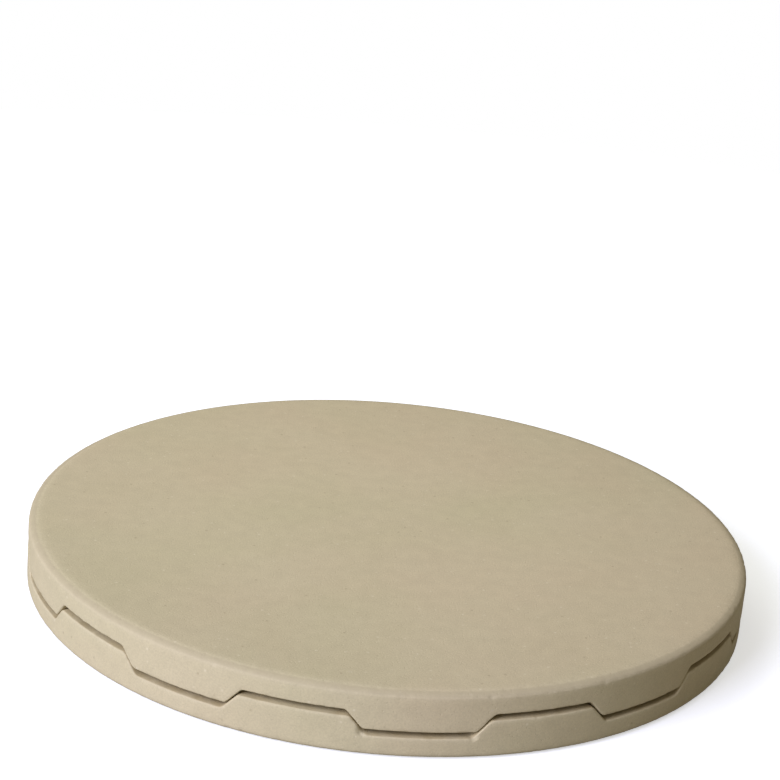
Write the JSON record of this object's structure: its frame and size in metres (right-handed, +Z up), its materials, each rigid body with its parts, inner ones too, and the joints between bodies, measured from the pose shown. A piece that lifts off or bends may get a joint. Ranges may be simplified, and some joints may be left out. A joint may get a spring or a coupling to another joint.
{
  "type": "pizza stone",
  "caption": "Round two-layer pizza stone: two toothed ceramic slabs that interlock at a stepped seam round the wall and close in a flat air chamber.",
  "frame": {"origin": "centre of the lower slab's flat underside", "axes": "+Z up through the centre of both slabs, -Y through the middle of the tooth of the upper slab that faces the front"},
  "size_m": [0.36, 0.36, 0.0324],
  "materials": {
    "cordierite": "unglazed fired cordierite, matte, fine sandy grain, pale buff"
  },
  "bodies": {
    "lower_slab": {"lower_stone": "cordierite"},
    "upper_slab": {"upper_stone": "cordierite"}
  },
  "joints": [
    {"name": "upper_stone_lift", "type": "slide", "parent": "lower_slab", "child": "upper_slab", "axis": [0, 0, 1], "range_m": [0, 0.06]}
  ]
}
